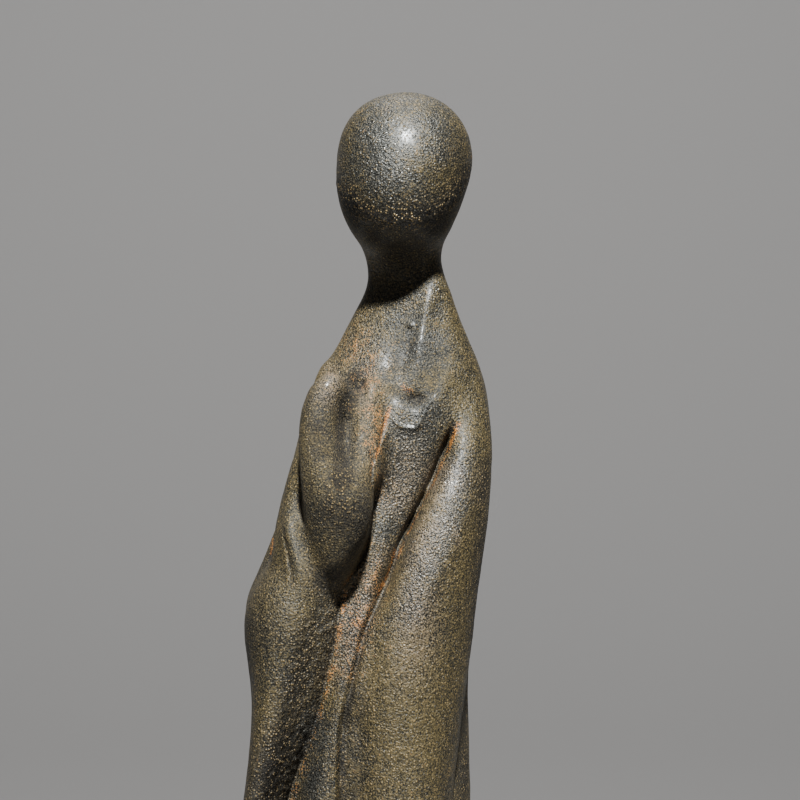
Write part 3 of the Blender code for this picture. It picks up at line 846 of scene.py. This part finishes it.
# %% Wrap the sockets
class Value:
    """One output socket that can be added, multiplied and compared in an expression."""

    def __init__(self, nodes, socket):
        self.nodes = nodes
        self.socket = socket

    def maths(self, operation, *values, clamp=False):
        node = self.nodes.make(
            "ShaderNodeMath", {"operation": operation, "use_clamp": clamp}, dict(enumerate(values))
        )
        return node[0]

    def __add__(self, other):
        return self.maths("ADD", self, other)

    __radd__ = __add__

    def __sub__(self, other):
        return self.maths("SUBTRACT", self, other)

    def __rsub__(self, other):
        return self.maths("SUBTRACT", other, self)

    def __mul__(self, other):
        return self.maths("MULTIPLY", self, other)

    __rmul__ = __mul__

    def most(self, other):
        """The larger of the two."""
        return self.maths("MAXIMUM", self, other)

    def clamped(self):
        """Kept between 0 and 1."""
        return self.maths("ADD", self, 0.0, clamp=True)

    def step(self, low, high):
        """0 below low, 1 above high, and smooth between."""
        node = self.nodes.make(
            "ShaderNodeMapRange", {"interpolation_type": "SMOOTHSTEP"}, {"Value": self, 1: low, 2: high}
        )
        return node[0]


class Nodes:
    """The node tree of one material."""

    def __init__(self, name):
        self.material = bpy.data.materials.new(name)
        self.material.use_nodes = True
        self.tree = self.material.node_tree
        self.shader = self.tree.nodes["Principled BSDF"]
        self.object = self.make("ShaderNodeTexCoord")["Object"]

    def join(self, socket, value):
        """Sets a socket to a number, a colour or another node's output."""
        if isinstance(value, Value):
            self.tree.links.new(value.socket, socket)
        else:
            socket.default_value = value

    def make(self, kind, settings=None, values=None):
        """Adds a node, sets it up, feeds its sockets and gives its outputs."""
        node = self.tree.nodes.new(kind)
        for name, setting in (settings or {}).items():
            setattr(node, name, setting)
        for key, value in (values or {}).items():
            self.join(node.inputs[key], value)
        outputs = {index: Value(self, socket) for index, socket in enumerate(node.outputs)}
        outputs.update({socket.name: Value(self, socket) for socket in node.outputs if socket.enabled})
        return outputs

    def pattern(self, kind, size, seed, settings):
        """A solid pattern with features of about that size in metres, and another one for each seed."""
        place = self.make("ShaderNodeVectorMath", {"operation": "ADD"}, {0: self.object, 1: (seed,) * 3})
        return self.make(kind, {}, {"Vector": place["Vector"], "Scale": 1 / size, **settings})

    def noise(self, size, detail, seed):
        """Soft noise from 0 to 1."""
        return self.pattern("ShaderNodeTexNoise", size, seed, {"Detail": detail})["Fac"]

    def grains(self, size, seed):
        """Round grains: the distance from each one's middle, and its own random colour."""
        made = self.pattern("ShaderNodeTexVoronoi", size, seed, {})
        return made["Distance"], made["Color"]

    def painted(self, name):
        """The number that was painted on the skin under a name."""
        return self.make("ShaderNodeAttribute", {"attribute_name": name})["Fac"]

    def part(self, colour, index):
        """One of the three numbers of a colour."""
        return self.make("ShaderNodeSeparateColor", {}, {0: colour})[index]

    def mix(self, mask, under, over):
        """One colour over another, each a node's output or three numbers."""
        under, over = (colour if isinstance(colour, Value) else (*colour, 1) for colour in (under, over))
        return self.make(
            "ShaderNodeMix", {"data_type": "RGBA", "clamp_factor": True}, {0: mask, 6: under, 7: over}
        )[2]


print("the shader tools are ready")

# %% [markdown]
# ## Sand-cast iron
# Sand leaves half-millimetre grains all over the metal. Some are dark blue-grey iron, some are covered with
# tan dust or old wax, and a few are polished and glint; their glint is partly painted, as near-white spots
# in the colour. Pictures of real metal could be laid on, but they would blur close up and show seams. Solid
# noise has grain at every distance. The colour, the shine and the bump all come from the same grains, so
# that a light grain is also a raised one. The painted layers go over them and decide where each shows, and
# the same grains break up their edges.

# %% Mix the colours and choose the grains
IRON = (0.020, 0.0195, 0.0165)
IRON_LIGHT = (0.098, 0.095, 0.084)
OLIVE = (0.046, 0.034, 0.011)
OCHRE = (0.108, 0.078, 0.029)
DUST = (0.200, 0.146, 0.098)
GOLD = (0.330, 0.225, 0.088)
DIRT_AND_SHADE = (0.008, 0.006, 0.004)
RUST = (0.220, 0.068, 0.012)
RUST_LIGHT = (0.560, 0.215, 0.032)
PAINTED_GLINT = (0.700, 0.690, 0.640)
GRAIN = 0.56 * MM
SPARK_GRAIN = 0.48 * MM
FINE_GRAIN = 0.44 * MM
SPECK = 0.33 * MM
CLUMP = 2.4 * MM
DRIFT = 14 * MM
RISE = 0.26 * MM
COAT_ROUGHNESS = 0.26
print("grains of", round(GRAIN / MM, 2), "mm rise", round(RISE / MM, 2), "mm")

# %% Make the iron
def sand_cast_iron():
    """Old waxed iron with the grain of its sand mould."""
    n = Nodes("sand-cast iron")
    rust, dark, bare, gloss, shine = (n.painted(k) for k in ("rust", "dark", "bare", "gloss", "shine"))
    grit_and_grazing_light, pale, matt, raw, hollow = (n.painted(k) for k in ("grit_and_grazing_light", "pale", "matt", "raw", "hollow"))

    # the grains, each with a chance to stand, to be golden and to glint, and the patterns that gather them
    away, tint = n.grains(GRAIN, seed=0.0)
    standing, gilded, glinting = (n.part(tint, k) for k in range(3))
    near, luck = n.grains(SPARK_GRAIN, seed=6.0)
    lucky = n.part(luck, 0)
    fine = n.noise(FINE_GRAIN, detail=3.0, seed=1.0)
    speck = n.noise(SPECK, detail=1.0, seed=2.0)
    clumps = n.noise(CLUMP, detail=3.0, seed=5.0)
    drifts = n.noise(DRIFT, detail=3.0, seed=8.0)
    tip = (1 - away * 1.7).clamped() * standing.step(0.40, 0.60)

    # iron under an olive crust, pale dust over both, dark grit and golden tips; round the chin the grit's
    # dark and its golden tips are painted shade and painted light
    iron = n.mix(speck.step(0.42, 0.66), IRON, IRON_LIGHT)
    crust = n.mix(fine.step(0.40, 0.62), OLIVE, OCHRE)
    dusty = (speck - 0.5) * 2.4 + (clumps - 0.5) * 0.7 + (drifts - 0.5) * 0.9 + 0.62
    dusty = (dusty - bare * 0.62 - raw * 0.2).step(0.2, 0.8)
    colour = n.mix(dusty, iron, crust)
    colour = n.mix(pale * speck.step(0.40, 0.64) * 0.75, colour, DUST)
    colour = n.mix(grit_and_grazing_light * 0.6, colour, DIRT_AND_SHADE)
    golden = tip.step(0.15, 0.6) * gilded.step(0.25, 0.75) * (1 - bare * 0.5) * 0.55
    golden = golden + tip.step(0.10, 0.35) * grit_and_grazing_light * 0.8
    colour = n.mix(golden.clamped(), colour, GOLD)
    colour = n.mix(fine.step(0.44, 0.30) * 0.7, colour, DIRT_AND_SHADE)

    # rust, then the dark layer over all but the tips, which is dirt and also painted shade (in the hollows
    # and where the dark strokes lie in shade); then painted glints: near-white spots that stand in for
    # highlights
    rusty = (rust * 1.3 + (clumps - 0.5) * 1.8 + (speck - 0.5) * 2.8 - 0.18).step(0.45, 0.95)
    rusty = rusty * (0.25 + 0.65 * rust)
    rust_colour = n.mix((fine * 0.7 + speck * 0.4).step(0.48, 0.66), RUST, RUST_LIGHT)
    colour = n.mix(rusty, colour, rust_colour)
    dirt_and_shade = (dark + hollow.most(0.0) * 0.5 + raw * 0.4 + (clumps - 0.5) * 0.5 * raw).clamped()
    colour = n.mix(dirt_and_shade * (0.6 + 0.4 * speck.step(0.62, 0.42)) * (1 - tip * 0.6), colour, DIRT_AND_SHADE)
    painted_glints = near.step(0.34, 0.16) * lucky.step(0.86, 0.92) * (1 - dark * 0.8)
    painted_glints = painted_glints * (0.2 + 0.7 * gloss + 0.1 * pale + shine)
    colour = n.mix(painted_glints.clamped(), colour, PAINTED_GLINT)
    n.join(n.shader.inputs["Base Color"], colour)

    # the shine: bare iron is metal, and wax is a coat that dirt takes away
    glint = (glinting * 0.6 + speck * 1.4).step(0.85, 1.15)
    roughness = 0.45 + dusty * 0.08 - shine * 0.10 - bare * 0.05 + dirt_and_shade * 0.2 + matt * 0.28
    roughness = roughness + (clumps - 0.5) * 0.3
    n.join(n.shader.inputs["Roughness"], roughness.clamped())
    n.join(n.shader.inputs["Metallic"], ((1 - dusty) * 0.5 * (1 - rusty)).clamped())
    coat = 0.03 + glint * (0.20 + gloss * 0.95) - matt * 0.2
    coat = coat + shine * (0.15 + 0.5 * speck.step(0.42, 0.58)) - dirt_and_shade * 0.3
    n.join(n.shader.inputs["Coat Weight"], coat.clamped())
    n.shader.inputs["Coat Roughness"].default_value = COAT_ROUGHNESS

    # the bump: the tips stand highest, and the raw metal is the coarsest
    height = fine * 0.9 + speck * 0.35 + tip * (0.5 + 0.35 * raw + grit_and_grazing_light) + clumps * (0.6 + 1.2 * raw)
    bump = n.make("ShaderNodeBump", {}, {"Height": height, "Distance": RISE})
    n.join(n.shader.inputs["Normal"], bump["Normal"])
    return n.material


skin.materials.clear()
skin.materials.append(sand_cast_iron())
print("materials on the figure:", [m.name for m in skin.materials])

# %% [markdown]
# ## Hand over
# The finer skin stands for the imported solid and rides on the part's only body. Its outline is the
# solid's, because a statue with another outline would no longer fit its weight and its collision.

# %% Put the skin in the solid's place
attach(statue, "root")
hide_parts("robed_figure")
